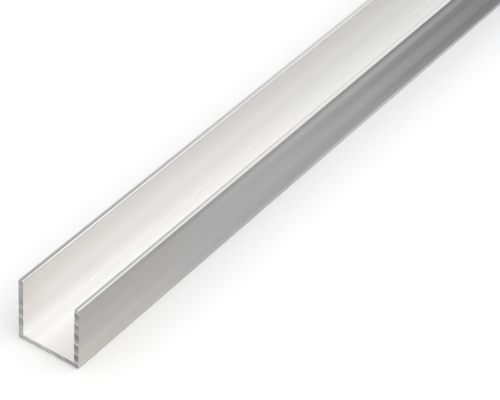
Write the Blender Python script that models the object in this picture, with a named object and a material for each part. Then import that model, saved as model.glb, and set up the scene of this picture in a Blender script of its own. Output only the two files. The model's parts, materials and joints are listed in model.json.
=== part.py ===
"""Aluminium U channel: an extruded section of a flat web and two equal upright legs, sawn square at both ends.

Metres, +Z up. The channel lies on its web with the open side up and runs along X.
The origin is under the middle of the web, at mid length, on the face that it lies on.
"""

import math

import bmesh
import bpy
from mathutils import Vector

# Section sizes
OUTER_WIDTH = 0.020  # across both legs
LEG_HEIGHT = 0.020  # from the web's underside to the leg tips
WALL = 0.0015  # web and legs alike
HEEL_RADIUS = 0.0004  # the two outer corners under the web
ROOT_RADIUS = 0.0001  # the two inner corners, where the legs stand on the web
TIP_RADIUS = 0.0003  # both arrises of each leg tip

# Stock length, between the two saw cuts
LENGTH = 1.000

# Each quarter-round of the section is drawn as this many straight steps
ARC_STEPS = 6
SMOOTH_ANGLE = math.radians(30)

# Mill-finish aluminium
METAL_COLOUR = (0.66, 0.66, 0.65, 1.0)
METAL_ROUGHNESS = 0.34


def clear_scene():
    for thing in list(bpy.data.objects):
        bpy.data.objects.remove(thing, do_unlink=True)


def mill_finish():
    """The metal as it leaves the die: pale grey, fully metallic, softly reflecting."""
    metal = bpy.data.materials.new("mill_finish_aluminium")
    metal.use_nodes = True
    shader = metal.node_tree.nodes["Principled BSDF"]
    shader.inputs["Base Color"].default_value = METAL_COLOUR
    shader.inputs["Metallic"].default_value = 1.0
    shader.inputs["Roughness"].default_value = METAL_ROUGHNESS
    return metal


def section_corners():
    """The section's eight square corners in order round the outline, each with its radius."""
    side = OUTER_WIDTH / 2
    inner_side = side - WALL
    tip_radius = min(TIP_RADIUS, 0.45 * WALL)  # both arrises have to fit on one tip
    return [
        (Vector((-side, 0)), HEEL_RADIUS),
        (Vector((side, 0)), HEEL_RADIUS),
        (Vector((side, LEG_HEIGHT)), tip_radius),
        (Vector((inner_side, LEG_HEIGHT)), tip_radius),
        (Vector((inner_side, WALL)), ROOT_RADIUS),
        (Vector((-inner_side, WALL)), ROOT_RADIUS),
        (Vector((-inner_side, LEG_HEIGHT)), tip_radius),
        (Vector((-side, LEG_HEIGHT)), tip_radius),
    ]


def rounded_outline(corners):
    """The closed outline's points, with a quarter-round in place of each right-angled corner."""
    points = []
    for index, (corner, radius) in enumerate(corners):
        before = corners[index - 1][0]
        after = corners[(index + 1) % len(corners)][0]
        back = (before - corner).normalized()
        ahead = (after - corner).normalized()
        centre = corner + (back + ahead) * radius
        for step in range(ARC_STEPS + 1):
            turn = math.pi / 2 * step / ARC_STEPS
            points.append(centre - (ahead * math.cos(turn) + back * math.sin(turn)) * radius)
    return points


def outline_curve(points):
    """A filled flat outline, extruded half the stock length to each side."""
    flat = bpy.data.curves.new("section", "CURVE")
    flat.dimensions = "2D"
    flat.fill_mode = "BOTH"
    flat.extrude = LENGTH / 2
    spline = flat.splines.new("POLY")
    spline.points.add(len(points) - 1)
    for place, point in zip(spline.points, points):
        place.co = (point.x, point.y, 0, 1)
    spline.use_cyclic_u = True
    return flat


def channel(collection):
    """The extruded length: the section stands in the YZ plane and the extrusion runs along X."""
    curve = bpy.data.objects.new("section", outline_curve(rounded_outline(section_corners())))
    curve.rotation_euler = (math.pi / 2, 0, math.pi / 2)
    collection.objects.link(curve)
    bpy.context.view_layer.update()

    graph = bpy.context.evaluated_depsgraph_get()
    mesh = bpy.data.meshes.new_from_object(curve.evaluated_get(graph))
    mesh.name = "u_channel"
    weld = bmesh.new()
    weld.from_mesh(mesh)
    bmesh.ops.remove_doubles(weld, verts=weld.verts, dist=1e-6)
    weld.to_mesh(mesh)
    weld.free()
    mesh.shade_smooth()
    mesh.set_sharp_from_angle(angle=SMOOTH_ANGLE)

    solid = bpy.data.objects.new("u_channel", mesh)
    solid.matrix_world = curve.matrix_world
    collection.objects.link(solid)
    bpy.data.objects.remove(curve, do_unlink=True)
    mesh.materials.clear()
    mesh.materials.append(mill_finish())
    return solid


def main():
    clear_scene()
    collection = bpy.data.collections.new("aluminium_u_channel")
    bpy.context.scene.collection.children.link(collection)
    channel(collection)


main()
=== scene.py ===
"""Finish, light and camera for one length of mill-finish aluminium U channel.

Metres, +Z up. The channel lies on its web along X, and the sawn end nearest the camera is at low X.
The leg at -Y is the right one, as the camera sees it.
"""

import json
import math

import bmesh
import bpy
from mathutils import Matrix, Vector


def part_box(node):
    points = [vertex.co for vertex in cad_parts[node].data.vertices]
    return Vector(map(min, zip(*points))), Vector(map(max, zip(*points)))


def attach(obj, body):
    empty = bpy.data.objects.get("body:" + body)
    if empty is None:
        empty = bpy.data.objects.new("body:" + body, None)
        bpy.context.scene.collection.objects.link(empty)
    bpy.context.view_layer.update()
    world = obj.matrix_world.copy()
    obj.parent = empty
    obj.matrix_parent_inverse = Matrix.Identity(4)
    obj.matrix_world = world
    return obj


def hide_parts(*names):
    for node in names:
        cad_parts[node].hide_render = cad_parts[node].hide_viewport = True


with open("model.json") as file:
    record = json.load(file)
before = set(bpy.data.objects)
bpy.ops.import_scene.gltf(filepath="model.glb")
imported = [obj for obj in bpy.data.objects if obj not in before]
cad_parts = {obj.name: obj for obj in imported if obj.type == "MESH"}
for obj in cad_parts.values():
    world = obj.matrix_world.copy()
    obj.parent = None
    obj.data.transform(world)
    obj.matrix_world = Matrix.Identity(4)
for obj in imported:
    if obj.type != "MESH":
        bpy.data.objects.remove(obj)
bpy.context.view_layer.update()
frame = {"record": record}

# Section and length, all read from the frame
LOW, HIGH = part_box("u_channel")
LENGTH = HIGH.x - LOW.x
WIDTH = HIGH.y - LOW.y
LEG_HEIGHT = HIGH.z - LOW.z
MOUNT_PLACES = {mount["name"]: Vector(mount["pos_m"]) for mount in frame["record"]["mounts"]}
WALL = MOUNT_PLACES["web_inside"].z - MOUNT_PLACES["web_underside"].z
SIDE = WIDTH / 2
INNER_SIDE = SIDE - WALL
END = LENGTH / 2

# Rounded edges of the extruded section
HEEL_RADIUS = 0.0004
ROOT_RADIUS = 0.0001
TIP_RADIUS = 0.0003
ROUND_STEPS = 8
SMOOTH_ANGLE = math.radians(30)

# Picking parts of the mesh
SAME_PLACE = 1e-6  # two places closer than this are the same
FACING = 0.9  # a face whose normal goes at least this far along an axis looks that way
FLAT_ANGLE = math.radians(1)  # neighbouring faces that turn less than this are one flat face

# Saw cuts
CUT_EDGE = 0.00005  # how much the file takes off the sawn edges
CUT_EDGE_STEPS = 2
BLADE_RADIUS = 0.250
BLADE_TILT = math.radians(18)  # the tooth marks fall this much towards -Y
BLADE_TOP = Vector((0, -math.sin(BLADE_TILT), math.cos(BLADE_TILT))) * BLADE_RADIUS
BLADE_AXIS = BLADE_TOP + Vector((0, 0, LEG_HEIGHT / 2))
# The strong tooth marks: how far each lies beyond BLADE_RADIUS from the axis, how strong it is on the right
# leg and on the left one (how deep it is cut, and how light its painted highlight is), and how dark the
# painted shadow is just beyond it
STRONG_MARKS = (
    (-0.0115, 1.0, 0.0, 1.0),
    (-0.0079, 0.9, 0.0, 0.5),
    (-0.0046, 0.3, 0.5, 1.0),
    (-0.0011, 1.0, 0.0, 1.0),
    (0.0023, 0.8, 0.3, 1.0),
    (0.0052, 0.9, 0.9, 0.7),
    (0.0087, 1.0, 0.7, 0.0),
    (0.0097, 0.5, 0.5, 0.0),
)
MARK_WIDTH = 0.00018  # each side of its middle
MARK_DEPTH = 0.00002
MARK_STEP = 0.00012  # the end faces are cut into rows this wide along the marks
MARK_LENGTH_STEP = 0.0012  # and into columns this wide across them
SCRATCH_DEPTH = 0.000008
SCRATCH_SEEDS = (3, 4)  # at the near end and at the far one
# Across and up: an end's vertices are put in order of their distance from here before the random draws, so
# that each run gives the same scratches
ORDER_PLACE = (-0.031, -0.017)

# In the values below, a pair of places or heights is where a change starts and where it has ended, and a
# pair of tones, shares or warmths is the value before the change and the value after it. Warmth is how much
# less blue than red a tone holds.
CUT_PLACE = 0.018 - END  # where the stretch beside the saw cut ends, along which the painted light and shade and the warmth differ
NEAR_PLACE = 0.04 - END
FAR_PLACE = 0.23 - END
LENGTHWISE_CHANGE = (NEAR_PLACE, FAR_PLACE)  # between these, the painted light and shade and the warmth change more and more along the length
GREEN_SHARE = 0.35  # the share of the warmth that the green loses too

# Drawn metal: the width, length and detail of each pattern, and a shift that sets it apart from the others
BROAD_STREAKS = (0.0042, 0.30, 1.0, 0.0)
NARROW_STREAKS = (0.0010, 0.16, 2.0, 3.0)
FINE_STREAKS = (0.00028, 0.05, 2.0, 7.0)
CLOUDS = (0.016, 0.05, 3.0, 11.0)
TONE_SHARES = (0.10, 0.06, 0.05, 0.05)  # how much each of those varies the tone
MOST = (0.35, 0.65)  # most of a pattern's values lie between these
NEARLY_ALL = (0.3, 0.7)
CLOUD_WARMTHS = (1.3, 0.7)
STREAK_WARMTH = 0.02
STREAK_ROUGHNESS = 0.12
CLOUD_ROUGHNESS = 0.15
RELIEF_DEPTH = 0.000003
NARROW_RELIEF = 2.0  # how much higher the narrow streaks stand than the fine ones
ANISOTROPY = 0.3
QUARTER_TURN = 0.25  # the anisotropy lies across the die lines

# Outside
OUTSIDE_ROUGHNESS = 0.32
OUTSIDE_GRAZING = 0.25  # how much of its tone the metal keeps when it is seen at a low angle
OUTSIDE_STREAKS = 1.0
OUTSIDE_RELIEF = 1.0
# Painted shade: the outside is given a darker tone than the inside, and darker still away from the near end
OUTSIDE_SHADE_PLACES = (0.07 - END, FAR_PLACE)
OUTSIDE_SHADED_TONES = (0.52, 0.325)
OUTSIDE_WARM_PLACES = (-END, 0.06 - END)
OUTSIDE_WARMTHS = (0.075, -0.005)
FOOT_PLACES = (-END, 0.10 - END)
FOOT_PAINTED_LIGHT = (0.45, 0.11)  # how much lighter it is along its foot, a painted reflection of the bright floor
FOOT_REACH = 0.017  # from there up to this height
HEEL_LINE = (0.0003, 0.0006, 0.0010, 0.0013)  # heights where its lighter line starts, is full, and ends
HEEL_LIGHTER = (0.15, 1.15)
HEEL_SHADE_HEIGHTS = (0.0004, 0.0002)
HEEL_SHADE = 0.35  # how much of its tone it keeps below those, a painted shade under the heel
UPPER_BAND = (0.0148, 0.0170, 0.0176, 0.0194)  # heights where a lighter band starts, is full, and ends
MIDDLE_BAND = (0.0050, 0.0072, 0.0106, 0.0124)
LOWER_BAND = (-0.002, -0.001, 0.0008, 0.0054)
MIDDLE_SHARE = 0.6  # how clear that band is beside the upper one
LOWER_SHARE = 0.7
BAND_PLACES = (0.05 - END, 0.18 - END)
BAND_AMOUNT = 0.30  # how much lighter the bands are once they show in full
BAND_BLUE = 0.015  # and how much less warm the upper one is
TOP_SHADE_HEIGHTS = (0.0174, 0.0192)
# How much of its tone the outside keeps above those heights: at the near end, at NEAR_PLACE and at FAR_PLACE
TOP_SHADES = (0.95, 0.82, 0.93)

# Tips of the legs, in painted light and shade: their flats lighter away from the near end, a painted
# highlight along the arris towards -Y, and painted shade on the right tip's other arris
TIP_HEIGHTS = (LEG_HEIGHT - 0.35 * TIP_RADIUS, LEG_HEIGHT - 0.15 * TIP_RADIUS)  # where they start
TIP_WARMTH = 0.02
TIP_PLACES = (-END, 0.155 - END)
RIGHT_TIP_PLACES = (-END, 0.130 - END)
RIGHT_TIP_TONES = (0.535, 0.80)
LEFT_TIP_TONES = (0.42, 0.68)
RIGHT_HIGHLIGHT_TONES = (0.98, 0.64)
LEFT_HIGHLIGHT_TONES = (0.90, 0.70)
LEFT_HIGHLIGHT_AT_CUT = 0.80  # how much of that painted highlight is left at the saw cut
RIGHT_FACE_TONES = (0.38, 0.70)  # between the painted highlight and the face beside it, in painted light and shade
LEFT_FACE_TONES = (0.68, 1.0)
HIGHLIGHT_PLACES = (1.3 * TIP_RADIUS, 0.65 * TIP_RADIUS)  # how far across the right tip and the left one
HIGHLIGHT_FULL = 0.27 * TIP_RADIUS  # the painted highlight has its full tone this near its middle
HIGHLIGHT_END = 0.63 * TIP_RADIUS  # and none of it beyond this
SHADED_ARRIS = (WALL - 1.3 * TIP_RADIUS, WALL - 0.7 * TIP_RADIUS)  # how far across a tip
RIGHT_SHADES = (0.6, 1.0)  # how much of its tone the right tip keeps at its other arris

# Inside
INSIDE_ROUGHNESS = 0.31
INSIDE_GRAZING = 1.0
INSIDE_STREAKS = 0.35
INSIDE_RELIEF = 0.1
# Painted light and shade: the inside is given a lighter tone than the outside, the legs darker low down, and
# the web darker away from the near end
LEG_HEIGHTS = (0.006, 0.013)
LOWER_LEG_TONES = (0.86, 0.875)
UPPER_LEG_TONES = (0.99, 0.98)
LOWER_LEG_WARMTHS = (0.02, 0.004)
UPPER_LEG_WARMTHS = (0.045, 0.006)
TOP_STRIP_HEIGHTS = (0.0182, 0.0189)
TOP_STRIP_LIGHTER = 1.07
WEB_TONES = (0.805, 0.665)
WEB_WARMTHS = (0.0, 0.002)
WEB_LEAN = 0.03  # painted light and shade: the web is that share lighter at its +Y side, and darker at the other
WEB_SHADE = 0.885  # how much of its tone it keeps beside the right leg at the near end
WEB_SHADE_EDGES = (0.0004, 0.0048)  # where that shade fades out across the web
WEB_SHADE_PLACES = (0.010 - END, 0.021 - END)  # and along it
CUT_WARMTHS = (0.025, 0.050)  # what the near end adds to the warmth of the web and of the legs
# Painted highlight in the roots, and on the metal beside them, fading away from the near end
ROOT_HIGHLIGHT_TONES = (1.0, 0.80)
IN_ROOT = (1.3 * ROOT_RADIUS, ROOT_RADIUS)
ROOT_HIGHLIGHT = 0.05  # how much lighter the painted highlight makes the metal beside the root, within ROOT_REACH of it
ROOT_REACH = 0.003
ROOT_HIGHLIGHT_PLACES = (0.005 - END, 0.085 - END)

# Sawn ends
SAWN_TONES = (0.38, 0.46)
# The tone of each strong mark's painted highlight line:
MARK_HIGHLIGHT_TONE = 0.85
SAWN_BLUE = 0.99
SAWN_ROUGHNESS = (0.32, 0.5)
SAWN_RELIEF = 0.00001
COARSE_RELIEF = 2.0  # how much higher the coarse arcs stand than the fine ones
FINE_ARCS = (5000.0, 2.0)  # how many to the metre, and their detail
FINE_ARC_SHARE = 0.20  # how much they vary the tone
COARSE_ARCS = (900.0, 1.0)
COARSE_ARC_SHARE = 0.15
PATCHES = (450.0, 1.0)
MARK_HIGHLIGHT_EDGES = (0.5 * MARK_WIDTH, 1.3 * MARK_WIDTH)
SHOULDER = 0.0026  # how far the painted shadow beyond a mark reaches
SHOULDER_SHADOW = 0.36
LEFT_SHOULDER_SHADOW = 0.35  # how much of that painted shadow there is on the left leg
LAST_CUT = BLADE_RADIUS + 0.0085  # beyond this the blade broke through, and the tone is painted lighter, a painted reflection of the floor
LAST_CUT_PAINTED_LIGHT = 1.12
LOW_CUT_HEIGHTS = (1.4 * WALL, WALL)
LOW_CUT_PAINTED_LIGHT = (1.08, 1.3)  # so is the end of the web, a painted reflection of the floor too, but less so under the left leg

# Studio
FLOOR_SIZE = 40.0
FLOOR_TONE = 0.93
FLOOR_ROUGHNESS = 0.9
FILL_LEVELS = (0.35, 1.07)  # from low down on either side, and from above
FILL_HEIGHTS = (-0.3, 0.3)
FILL_LEAN = -0.7  # how much a direction counts as lower for each step to the side
FILL_END = 0.2  # what the fill adds from beyond the far end
FILL_END_PLACES = (0.45, 1.0)
SOFTBOX_LEVEL = 0.55
SOFTBOX_LENGTH = 2.8
SOFTBOX_WIDTH = 1.6
SOFTBOX_PLACE = (0.0, -0.8, 1.0)

# Camera, at the photograph's viewing angle
PICTURE_WIDTH = 500
SENSOR_WIDTH = 36.0
FOCAL_PIXELS = 2346.6
CAMERA_PLACE = Vector((-0.85389, -0.28521, 0.42222))
CAMERA_FORWARD = Vector((0.6551, 0.4182, -0.6293))
CAMERA_ROLL = math.radians(4.12)


def edit(piece):
    """Goes into edit mode on one piece alone."""
    bpy.ops.object.select_all(action="DESELECT")
    bpy.context.view_layer.objects.active = piece
    piece.select_set(True)
    bpy.ops.object.mode_set(mode="EDIT")


def leave_edit():
    bpy.ops.object.mode_set(mode="OBJECT")


def pick(piece, kind, wanted):
    """Selects the faces, edges or vertices that wanted() accepts, and nothing else."""
    bpy.ops.mesh.select_mode(type=kind)
    bpy.ops.mesh.select_all(action="DESELECT")
    mesh = bmesh.from_edit_mesh(piece.data)
    parts = {"FACE": mesh.faces, "EDGE": mesh.edges, "VERT": mesh.verts}[kind]
    for part in parts:
        if wanted(part):
            part.select_set(True)
    mesh.select_flush_mode()
    bmesh.update_edit_mesh(piece.data)


def is_at(point, side, height):
    """True for a point at that distance from the middle and at that height."""
    return abs(abs(point.y) - side) < SAME_PLACE and abs(point.z - height) < SAME_PLACE


def runs_at(edge, side, height):
    """True for a long edge there."""
    first, second = (vertex.co for vertex in edge.verts)
    is_long = abs(first.x - second.x) > LENGTH / 2
    return is_long and is_at(first, side, height) and is_at(second, side, height)


def on_end(part):
    """True for a face or edge that lies in one of the two sawn ends."""
    return all(abs(abs(vertex.co.x) - END) < SAME_PLACE for vertex in part.verts)


def is_sawn(face):
    return abs(face.normal.x) > FACING


def is_inside(face):
    """True for the web's upper face, the roots and the legs' inner faces, up to the radii of the tips."""
    middle = face.calc_center_median()
    between_legs = abs(middle.y) < INNER_SIDE + SAME_PLACE
    return between_legs and WALL - SAME_PLACE < middle.z < LEG_HEIGHT - TIP_RADIUS


def is_leg_strip(face):
    """True for the two strips of the flat bar that the legs are drawn up from."""
    return face.normal.z > FACING and abs(face.calc_center_median().y) > INNER_SIDE


def web_and_legs():
    """The sharp section: the web as a flat bar, with a strip along each side drawn up into a leg."""
    bpy.ops.object.select_all(action="DESELECT")
    bpy.ops.mesh.primitive_cube_add(size=1, location=(0, 0, WALL / 2))
    piece = bpy.context.object
    piece.name = "channel_finish"
    piece.scale = (LENGTH, WIDTH, WALL)
    bpy.ops.object.transform_apply(location=True, rotation=True, scale=True)
    edit(piece)
    for side in (-INNER_SIDE, INNER_SIDE):
        bpy.ops.mesh.select_all(action="SELECT")
        bpy.ops.mesh.bisect(plane_co=(0, side, 0), plane_no=(0, 1, 0))
    pick(piece, "FACE", is_leg_strip)
    bpy.ops.mesh.extrude_region_move(TRANSFORM_OT_translate={"value": (0, 0, LEG_HEIGHT - WALL)})
    bpy.ops.mesh.select_all(action="SELECT")
    bpy.ops.mesh.dissolve_limited(angle_limit=FLAT_ANGLE)
    return piece


def round_edges(piece):
    """The three kinds of rounded edge that the die leaves."""
    rounds = (
        (HEEL_RADIUS, ((SIDE, 0),)),
        (ROOT_RADIUS, ((INNER_SIDE, WALL),)),
        (TIP_RADIUS, ((SIDE, LEG_HEIGHT), (INNER_SIDE, LEG_HEIGHT))),
    )
    for radius, places in rounds:
        pick(piece, "EDGE", lambda edge: any(runs_at(edge, side, height) for side, height in places))
        bpy.ops.mesh.bevel(offset=radius, segments=ROUND_STEPS, affect="EDGES")


def file_cut_edges(piece):
    """A hair of a round where each saw cut meets the extruded faces."""
    pick(piece, "EDGE", on_end)
    bpy.ops.mesh.bevel(offset=CUT_EDGE, segments=CUT_EDGE_STEPS, affect="EDGES")


def rule_ends(piece):
    """Cuts the two end faces into rows along the tooth marks, so that the marks can be pushed into them."""
    along = Vector((0, math.cos(BLADE_TILT), math.sin(BLADE_TILT)))
    across = Vector((0, -math.sin(BLADE_TILT), math.cos(BLADE_TILT)))
    middle = Vector((0, 0, LEG_HEIGHT / 2))
    reach = math.hypot(WIDTH, LEG_HEIGHT) / 2
    for normal, step in ((across, MARK_STEP), (along, MARK_LENGTH_STEP)):
        count = int(reach / step)
        for index in range(-count, count + 1):
            pick(piece, "FACE", on_end)
            bpy.ops.mesh.bisect(plane_co=middle + normal * (index * step), plane_no=normal)


def lay_map(piece):
    """A flat map of each face, with U along X on the extruded faces."""
    bpy.ops.mesh.select_all(action="SELECT")
    bpy.ops.uv.cube_project(cube_size=1)


def finish_faces(piece):
    """One finish for the outside, one for the faces between the legs, and one for the sawn ends."""
    for finish in (outside_finish(), inside_finish(), sawn_finish()):
        piece.data.materials.append(finish)
    for index, wanted in ((1, is_inside), (2, is_sawn)):
        pick(piece, "FACE", wanted)
        piece.active_material_index = index
        bpy.ops.object.material_slot_assign()


def within_end(vertex):
    """True for a vertex of an end face that isn't on its outline."""
    return all(is_sawn(face) for face in vertex.link_faces)


def push_in(depth):
    """Moves what is selected on both ends into the metal."""
    bpy.ops.transform.resize(value=(1 - depth / END, 1, 1), center_override=(0, 0, 0))


def scratch_ends(piece):
    """Scratches both ends a hair deep."""
    for side, seed in zip((-1, 1), SCRATCH_SEEDS):
        pick(piece, "VERT", lambda vertex: vertex.co.x * side > 0 and within_end(vertex))
        push_in(SCRATCH_DEPTH)
        bpy.context.scene.cursor.location = (side * END, *ORDER_PLACE)
        bpy.ops.mesh.sort_elements(type="CURSOR_DISTANCE", elements={"VERT"})
        bpy.ops.transform.vertex_random(offset=SCRATCH_DEPTH, normal=1.0, seed=seed)


def is_on_mark(vertex, place):
    """True for a vertex of an end face that the mark at that place runs over."""
    reach = math.hypot(vertex.co.y - BLADE_AXIS.y, vertex.co.z - BLADE_AXIS.z)
    return abs(reach - BLADE_RADIUS - place) < MARK_WIDTH and within_end(vertex)


def cut_marks(piece):
    """Cuts the strong tooth marks into both ends, as arcs round the blade's axis."""
    for place, on_right, on_left, _ in STRONG_MARKS:
        for side, share in ((-1, on_right), (1, on_left)):
            pick(piece, "VERT", lambda vertex: vertex.co.y * side > 0 and is_on_mark(vertex, place))
            push_in(MARK_DEPTH * share)


def channel():
    piece = web_and_legs()
    round_edges(piece)
    file_cut_edges(piece)
    rule_ends(piece)
    lay_map(piece)
    finish_faces(piece)
    scratch_ends(piece)
    cut_marks(piece)
    leave_edit()
    bpy.ops.object.shade_smooth_by_angle(angle=SMOOTH_ANGLE)
    flat = piece.modifiers.new("flat_faces_stay_flat", "WEIGHTED_NORMAL")
    flat.keep_sharp = True
    bpy.ops.object.modifier_apply(modifier=flat.name)
    return piece


def node(tree, kind, sockets=(), **settings):
    """Adds a node. A socket is given a number, a colour or another node's output."""
    made = tree.nodes.new(kind)
    for name, value in settings.items():
        setattr(made, name, value)
    for socket, value in dict(sockets).items():
        if isinstance(value, bpy.types.NodeSocket):
            tree.links.new(value, made.inputs[socket])
        else:
            made.inputs[socket].default_value = value
    return made


def arithmetic(tree, operation, first, second=0.0, third=0.0):
    """One step of arithmetic with one, two or three numbers or outputs."""
    return node(tree, "ShaderNodeMath", {0: first, 1: second, 2: third}, operation=operation).outputs[0]


def times(tree, *factors):
    """The product of numbers and outputs."""
    product = factors[0]
    for factor in factors[1:]:
        product = arithmetic(tree, "MULTIPLY", product, factor)
    return product


def ramp(tree, value, start, stop, low=0.0, high=1.0):
    """low before start, high past stop, and a smooth change between them."""
    sockets = {"Value": value, "From Min": start, "From Max": stop, "To Min": low, "To Max": high}
    return node(tree, "ShaderNodeMapRange", sockets, interpolation_type="SMOOTHSTEP").outputs["Result"]


def blend(tree, share, first, second):
    """first where share is 0, second where it is 1."""
    return node(tree, "ShaderNodeMix", {0: share, 2: first, 3: second}).outputs[0]


def lifted(tree, share, amount):
    """A factor of 1 where share is 0, and of 1 + amount where it is 1."""
    return arithmetic(tree, "MULTIPLY_ADD", share, amount, 1.0)


def varied(tree, pattern, amount):
    """Turns a pattern about 0.5 into a factor about 1 that varies by amount."""
    return lifted(tree, arithmetic(tree, "SUBTRACT", pattern, 0.5), 2 * amount)


def blotches(tree, place, count, detail):
    """Soft blotches, that many to the metre, as a number about 0.5."""
    sockets = {"Vector": place, "Scale": count, "Detail": detail}
    return node(tree, "ShaderNodeTexNoise", sockets).outputs[0]


def lines_along(tree, place, width, length, detail, shift):
    """Soft lines along X of that width and length, as a number about 0.5."""
    sockets = {"Vector": place, "Location": (shift, shift, shift), "Scale": (width / length, 1, 1)}
    stretched = node(tree, "ShaderNodeMapping", sockets).outputs[0]
    return blotches(tree, stretched, 1 / width, detail)


def arcs(tree, distance, count, detail):
    """Rings round the blade's axis, that many to the metre, as a number about 0.5."""
    sockets = {"W": distance, "Scale": count, "Detail": detail}
    return node(tree, "ShaderNodeTexNoise", sockets, noise_dimensions="1D").outputs[0]


def start_finish(name, grazing_tone):
    """A metal that keeps only that share of its tone where it is seen at a low angle.

    Gives the material, its tree, its shader and the place on the piece.
    """
    finish = bpy.data.materials.new(name)
    finish.use_nodes = True
    tree = finish.node_tree
    shader = tree.nodes["Principled BSDF"]
    shader.inputs["Metallic"].default_value = 1.0
    shader.inputs["Specular Tint"].default_value = (grazing_tone, grazing_tone, grazing_tone, 1)
    place = node(tree, "ShaderNodeTexCoord").outputs["Object"]
    return finish, tree, shader, place


def draw_lines(tree, shader):
    """The die lines run along X, which is the U direction of the map."""
    tangent = node(tree, "ShaderNodeTangent", direction_type="UV_MAP").outputs[0]
    tree.links.new(tangent, shader.inputs["Tangent"])
    shader.inputs["Anisotropic"].default_value = ANISOTROPY
    shader.inputs["Anisotropic Rotation"].default_value = QUARTER_TURN


def raise_relief(tree, shader, height, depth, strength):
    bump = node(tree, "ShaderNodeBump", {"Height": height, "Distance": depth, "Strength": strength})
    tree.links.new(bump.outputs[0], shader.inputs["Normal"])


def drawn_metal(tree, shader, place, tone, warmth, roughness, streaks, relief):
    """Streaks along the length from broad to fine, a slow cloudiness, and die lines as a slight relief."""
    broad = lines_along(tree, place, *BROAD_STREAKS)
    narrow = lines_along(tree, place, *NARROW_STREAKS)
    fine = lines_along(tree, place, *FINE_STREAKS)
    clouds = lines_along(tree, place, *CLOUDS)
    for pattern, share in zip((broad, narrow, fine, clouds), TONE_SHARES):
        tone = times(tree, tone, varied(tree, pattern, streaks * share))
    tint = STREAK_WARMTH * streaks
    warmth = times(tree, warmth, ramp(tree, clouds, *MOST, *CLOUD_WARMTHS))
    warmth = arithmetic(tree, "ADD", warmth, ramp(tree, narrow, *NEARLY_ALL, -tint, tint))
    green = times(tree, tone, lifted(tree, warmth, -GREEN_SHARE))
    blue = times(tree, tone, arithmetic(tree, "SUBTRACT", 1.0, warmth))
    colour = node(tree, "ShaderNodeCombineColor", {0: tone, 1: green, 2: blue})
    tree.links.new(colour.outputs[0], shader.inputs["Base Color"])

    in_streaks = varied(tree, narrow, STREAK_ROUGHNESS * streaks)
    in_clouds = varied(tree, clouds, CLOUD_ROUGHNESS * streaks)
    tree.links.new(times(tree, in_streaks, in_clouds, roughness), shader.inputs["Roughness"])
    height = arithmetic(tree, "MULTIPLY_ADD", narrow, NARROW_RELIEF, fine)
    raise_relief(tree, shader, height, RELIEF_DEPTH, relief)
    draw_lines(tree, shader)


def band(tree, up, heights):
    """1 between the two middle heights, and 0 below the first and above the last."""
    start, full, fall, end = heights
    return times(tree, ramp(tree, up, start, full), ramp(tree, up, end, fall))


def side_tone(tree, along, up):
    """The outside below the tips: painted shade makes it darker away from the near end, a painted reflection
    of the floor makes it lighter at its foot, and it has lighter bands.

    Gives the tone, and how much the upper band adds to it.
    """
    upper = band(tree, up, UPPER_BAND)
    bands = arithmetic(tree, "MULTIPLY_ADD", band(tree, up, MIDDLE_BAND), MIDDLE_SHARE, upper)
    bands = arithmetic(tree, "MULTIPLY_ADD", band(tree, up, LOWER_BAND), LOWER_SHARE, bands)
    clearer = ramp(tree, along, *BAND_PLACES, 0.0, BAND_AMOUNT)
    tone = ramp(tree, along, *OUTSIDE_SHADE_PLACES, *OUTSIDE_SHADED_TONES)
    tone = times(tree, tone, lifted(tree, bands, clearer))

    foot = ramp(tree, up, FOOT_REACH, 0.0)
    foot_painted_light = ramp(tree, along, *FOOT_PLACES, *FOOT_PAINTED_LIGHT)
    heel_lighter = ramp(tree, along, *LENGTHWISE_CHANGE, *HEEL_LIGHTER)
    tone = times(tree, tone, lifted(tree, foot, foot_painted_light))
    tone = times(tree, tone, lifted(tree, band(tree, up, HEEL_LINE), heel_lighter))
    tone = times(tree, tone, ramp(tree, up, *HEEL_SHADE_HEIGHTS, 1.0, HEEL_SHADE))

    at_end, near, far = TOP_SHADES
    shade = ramp(tree, along, CUT_PLACE, NEAR_PLACE, at_end, ramp(tree, along, *LENGTHWISE_CHANGE, near, far))
    tone = times(tree, tone, ramp(tree, up, *TOP_SHADE_HEIGHTS, 1.0, shade))
    return tone, times(tree, upper, clearer)


def tip_tone(tree, along, across):
    """Across one tip: painted highlight on its -Y arris, and painted shade on the right one's other arris.
    """
    on_left = arithmetic(tree, "GREATER_THAN", across, 0.0)

    def tones(right, left, right_places=TIP_PLACES):
        """The right tip's tones or the left one's, as they change along the channel."""
        on_right = ramp(tree, along, *right_places, *right)
        return blend(tree, on_left, on_right, ramp(tree, along, *TIP_PLACES, *left))

    tip = tones(RIGHT_TIP_TONES, LEFT_TIP_TONES, RIGHT_TIP_PLACES)
    face = tones(RIGHT_FACE_TONES, LEFT_FACE_TONES)
    arris_highlight = tones(RIGHT_HIGHLIGHT_TONES, LEFT_HIGHLIGHT_TONES)
    at_cut = ramp(tree, along, -END, CUT_PLACE, LEFT_HIGHLIGHT_AT_CUT, 1.0)
    arris_highlight = times(tree, arris_highlight, blend(tree, on_left, 1.0, at_cut))

    from_face = arithmetic(tree, "SUBTRACT", across, blend(tree, on_left, -SIDE, INNER_SIDE))
    off_line = arithmetic(tree, "SUBTRACT", from_face, blend(tree, on_left, *HIGHLIGHT_PLACES))
    tone = ramp(tree, off_line, -HIGHLIGHT_END, -HIGHLIGHT_FULL, face, arris_highlight)
    tone = ramp(tree, off_line, HIGHLIGHT_FULL, HIGHLIGHT_END, tone, tip)
    shade = blend(tree, on_left, ramp(tree, along, *RIGHT_TIP_PLACES, *RIGHT_SHADES), 1.0)
    return times(tree, tone, ramp(tree, from_face, *SHADED_ARRIS, 1.0, shade))


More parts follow.
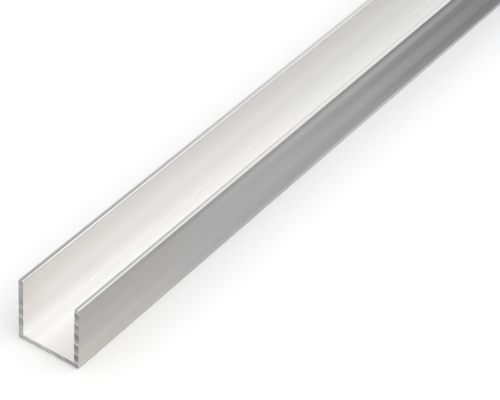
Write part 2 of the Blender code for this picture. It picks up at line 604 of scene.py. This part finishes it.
def outside_finish():
    """Painted shade away from the near end, lighter bands, and painted highlights on the tips' arrises."""
    finish, tree, shader, place = start_finish("mill_finish_outside_painted_light", OUTSIDE_GRAZING)
    along, across, up = node(tree, "ShaderNodeSeparateXYZ", {0: place}).outputs
    tone, upper_band = side_tone(tree, along, up)
    warmth = ramp(tree, along, *OUTSIDE_WARM_PLACES, *OUTSIDE_WARMTHS)
    warmth = arithmetic(tree, "MULTIPLY_ADD", upper_band, -BAND_BLUE / BAND_AMOUNT, warmth)

    # Above the legs' outer faces, and on the whole of the tips' inner rounds
    on_inner_half = arithmetic(tree, "LESS_THAN", arithmetic(tree, "ABSOLUTE", across), SIDE - WALL / 2)
    reach = arithmetic(tree, "MULTIPLY_ADD", on_inner_half, TIP_RADIUS, up)
    tone = ramp(tree, reach, *TIP_HEIGHTS, tone, tip_tone(tree, along, across))
    warmth = ramp(tree, reach, *TIP_HEIGHTS, warmth, TIP_WARMTH)
    drawn_metal(tree, shader, place, tone, warmth, OUTSIDE_ROUGHNESS, OUTSIDE_STREAKS, OUTSIDE_RELIEF)
    return finish


def leg_tone(tree, along, up):
    """A leg's inner face: painted shade low down, and painted light in a strip along its top."""
    lower = ramp(tree, along, *LENGTHWISE_CHANGE, *LOWER_LEG_TONES)
    upper = ramp(tree, along, *LENGTHWISE_CHANGE, *UPPER_LEG_TONES)
    tone = ramp(tree, up, *LEG_HEIGHTS, lower, upper)
    return times(tree, tone, ramp(tree, up, *TOP_STRIP_HEIGHTS, 1.0, TOP_STRIP_LIGHTER))


def web_tone(tree, along, across):
    """The web's upper face: painted shade, darker towards the right leg, most of all at the near end."""
    tone = ramp(tree, along, *LENGTHWISE_CHANGE, *WEB_TONES)
    tone = times(tree, tone, ramp(tree, across, -INNER_SIDE, INNER_SIDE, 1 - WEB_LEAN, 1 + WEB_LEAN))
    shade = ramp(tree, along, *WEB_SHADE_PLACES, WEB_SHADE, 1.0)
    return times(tree, tone, ramp(tree, across, *WEB_SHADE_EDGES, shade, 1.0))


def inside_warmth(tree, along, up, on_leg):
    """The legs are warmer than the web, and both are warmest at the near end."""
    lower = ramp(tree, along, *LENGTHWISE_CHANGE, *LOWER_LEG_WARMTHS)
    upper = ramp(tree, along, *LENGTHWISE_CHANGE, *UPPER_LEG_WARMTHS)
    leg = ramp(tree, up, *LEG_HEIGHTS, lower, upper)
    warmth = blend(tree, on_leg, ramp(tree, along, *LENGTHWISE_CHANGE, *WEB_WARMTHS), leg)
    at_cut = ramp(tree, along, CUT_PLACE, -END)
    return arithmetic(tree, "MULTIPLY_ADD", at_cut, blend(tree, on_leg, *CUT_WARMTHS), warmth)


def inside_finish():
    """Cleaner than the outside, and brighter in painted light; a little warm on the legs, and with a painted
    highlight in their roots.
    """
    finish, tree, shader, place = start_finish("mill_finish_inside_painted_light", INSIDE_GRAZING)
    along, across, up = node(tree, "ShaderNodeSeparateXYZ", {0: place}).outputs
    from_leg = arithmetic(tree, "SUBTRACT", INNER_SIDE, arithmetic(tree, "ABSOLUTE", across))
    from_web = arithmetic(tree, "SUBTRACT", up, WALL)
    on_leg = arithmetic(tree, "GREATER_THAN", from_web, from_leg)
    from_root = arithmetic(tree, "MAXIMUM", from_leg, from_web)
    tone = blend(tree, on_leg, web_tone(tree, along, across), leg_tone(tree, along, up))

    beside_root = ramp(tree, along, *ROOT_HIGHLIGHT_PLACES, 1.0 + ROOT_HIGHLIGHT, 1.0)
    tone = times(tree, tone, ramp(tree, from_root, ROOT_REACH, 0.0, 1.0, beside_root))
    root = ramp(tree, along, -END, FAR_PLACE, *ROOT_HIGHLIGHT_TONES)
    tone = arithmetic(tree, "MINIMUM", ramp(tree, from_root, *IN_ROOT, tone, root), 1.0)
    warmth = inside_warmth(tree, along, up, on_leg)
    drawn_metal(tree, shader, place, tone, warmth, INSIDE_ROUGHNESS, INSIDE_STREAKS, INSIDE_RELIEF)
    return finish


def from_blade_axis(tree, place):
    """How far a place is from the axis of the blade."""
    offset = node(tree, "ShaderNodeVectorMath", {0: place, 1: tuple(BLADE_AXIS)}, operation="SUBTRACT")
    flat = node(tree, "ShaderNodeVectorMath", {0: offset.outputs[0], 1: (0, 1, 1)}, operation="MULTIPLY")
    return node(tree, "ShaderNodeVectorMath", {0: flat.outputs[0]}, operation="LENGTH").outputs["Value"]


def mark_tone(tree, tone, distance, to_right, mark):
    """One strong tooth mark: a painted highlight line, and a painted shadow that fades beyond it."""
    place, on_right, on_left, shadow_share = mark
    beyond = arithmetic(tree, "SUBTRACT", distance, BLADE_RADIUS + place)
    starting = ramp(tree, beyond, 0.0, MARK_WIDTH)
    fading = ramp(tree, beyond, SHOULDER, SHOULDER / 2)
    shoulder_shadow = times(tree, starting, fading, blend(tree, to_right, LEFT_SHOULDER_SHADOW, 1.0))
    tone = times(tree, tone, ramp(tree, shoulder_shadow, 0.0, 1.0, 1.0, 1 - SHOULDER_SHADOW * shadow_share))
    mark_highlight = ramp(tree, arithmetic(tree, "ABSOLUTE", beyond), *MARK_HIGHLIGHT_EDGES, 1.0, 0.0)
    return blend(tree, times(tree, mark_highlight, blend(tree, to_right, on_left, on_right)), tone, MARK_HIGHLIGHT_TONE)


def sawn_finish():
    """The cut ends: arcs that the teeth left, round the blade's axis."""
    finish, tree, shader, place = start_finish("sawn_ends", OUTSIDE_GRAZING)
    _, across, up = node(tree, "ShaderNodeSeparateXYZ", {0: place}).outputs
    distance = from_blade_axis(tree, place)
    to_right = ramp(tree, across, SIDE, -SIDE)
    fine = arcs(tree, distance, *FINE_ARCS)
    coarse = arcs(tree, distance, *COARSE_ARCS)
    patches = blotches(tree, place, *PATCHES)

    tone = ramp(tree, patches, *MOST, *SAWN_TONES)
    tone = times(tree, tone, varied(tree, fine, FINE_ARC_SHARE), varied(tree, coarse, COARSE_ARC_SHARE))
    last_cut = ramp(tree, distance, LAST_CUT - MARK_WIDTH, LAST_CUT + MARK_WIDTH, 1.0, LAST_CUT_PAINTED_LIGHT)
    low_cut = ramp(tree, across, SIDE, SIDE / 2, *LOW_CUT_PAINTED_LIGHT)
    tone = times(tree, tone, last_cut, ramp(tree, up, *LOW_CUT_HEIGHTS, 1.0, low_cut))
    for mark in STRONG_MARKS:
        tone = mark_tone(tree, tone, distance, to_right, mark)

    colour = node(tree, "ShaderNodeCombineColor", {0: tone, 1: tone, 2: times(tree, tone, SAWN_BLUE)})
    tree.links.new(colour.outputs[0], shader.inputs["Base Color"])
    tree.links.new(ramp(tree, fine, *NEARLY_ALL, *SAWN_ROUGHNESS), shader.inputs["Roughness"])
    height = arithmetic(tree, "MULTIPLY_ADD", coarse, COARSE_RELIEF, fine)
    raise_relief(tree, shader, height, SAWN_RELIEF, 1.0)
    return finish


def floor():
    bpy.ops.mesh.primitive_plane_add(size=FLOOR_SIZE, location=(0, 0, 0))
    ground = bpy.context.object
    ground.name = "studio_floor"
    look = bpy.data.materials.new("white_floor")
    look.use_nodes = True
    shader = look.node_tree.nodes["Principled BSDF"]
    shader.inputs["Base Color"].default_value = (FLOOR_TONE, FLOOR_TONE, FLOOR_TONE, 1)
    shader.inputs["Roughness"].default_value = FLOOR_ROUGHNESS
    shader.inputs["Specular IOR Level"].default_value = 0.0
    ground.data.materials.append(look)


def fill_light():
    """A soft fill from all round, weaker low down on both sides of the channel."""
    world = bpy.data.worlds.new("studio")
    world.use_nodes = True
    tree = world.node_tree
    direction = node(tree, "ShaderNodeTexCoord").outputs["Generated"]
    forward, sideways, up = node(tree, "ShaderNodeSeparateXYZ", {0: direction}).outputs
    sideways = arithmetic(tree, "ABSOLUTE", sideways)
    height = arithmetic(tree, "MULTIPLY_ADD", sideways, FILL_LEAN, up)
    fill = ramp(tree, height, *FILL_HEIGHTS, *FILL_LEVELS)
    fill = arithmetic(tree, "ADD", fill, ramp(tree, forward, *FILL_END_PLACES, 0.0, FILL_END))
    tree.links.new(fill, tree.nodes["Background"].inputs["Strength"])
    tree.nodes["Background"].inputs["Color"].default_value = (1, 1, 1, 1)
    bpy.context.scene.world = world


def overhead_light():
    """A wide softbox above the channel."""
    lamp = bpy.data.lights.new("softbox", "AREA")
    lamp.shape = "RECTANGLE"
    lamp.size = SOFTBOX_LENGTH
    lamp.size_y = SOFTBOX_WIDTH
    lamp.energy = SOFTBOX_LEVEL * math.pi * SOFTBOX_LENGTH * SOFTBOX_WIDTH
    softbox = bpy.data.objects.new("softbox", lamp)
    softbox.location = SOFTBOX_PLACE
    softbox.visible_camera = False
    bpy.context.scene.collection.objects.link(softbox)


def camera():
    """The camera stands where the photograph was taken from, and is turned about its view line."""
    lens = bpy.data.cameras.new("camera")
    lens.sensor_width = SENSOR_WIDTH
    lens.lens = FOCAL_PIXELS / PICTURE_WIDTH * SENSOR_WIDTH
    eye = bpy.data.objects.new("camera", lens)
    bpy.context.scene.collection.objects.link(eye)
    level = CAMERA_FORWARD.to_track_quat("-Z", "Y").to_matrix().to_4x4()
    eye.matrix_world = Matrix.Translation(CAMERA_PLACE) @ level @ Matrix.Rotation(CAMERA_ROLL, 4, "Z")
    bpy.context.scene.camera = eye


def main():
    bpy.context.scene.view_settings.view_transform = "Standard"
    camera()
    fill_light()
    overhead_light()
    floor()
    piece = channel()
    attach(piece, "root")
    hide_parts("u_channel")


main()
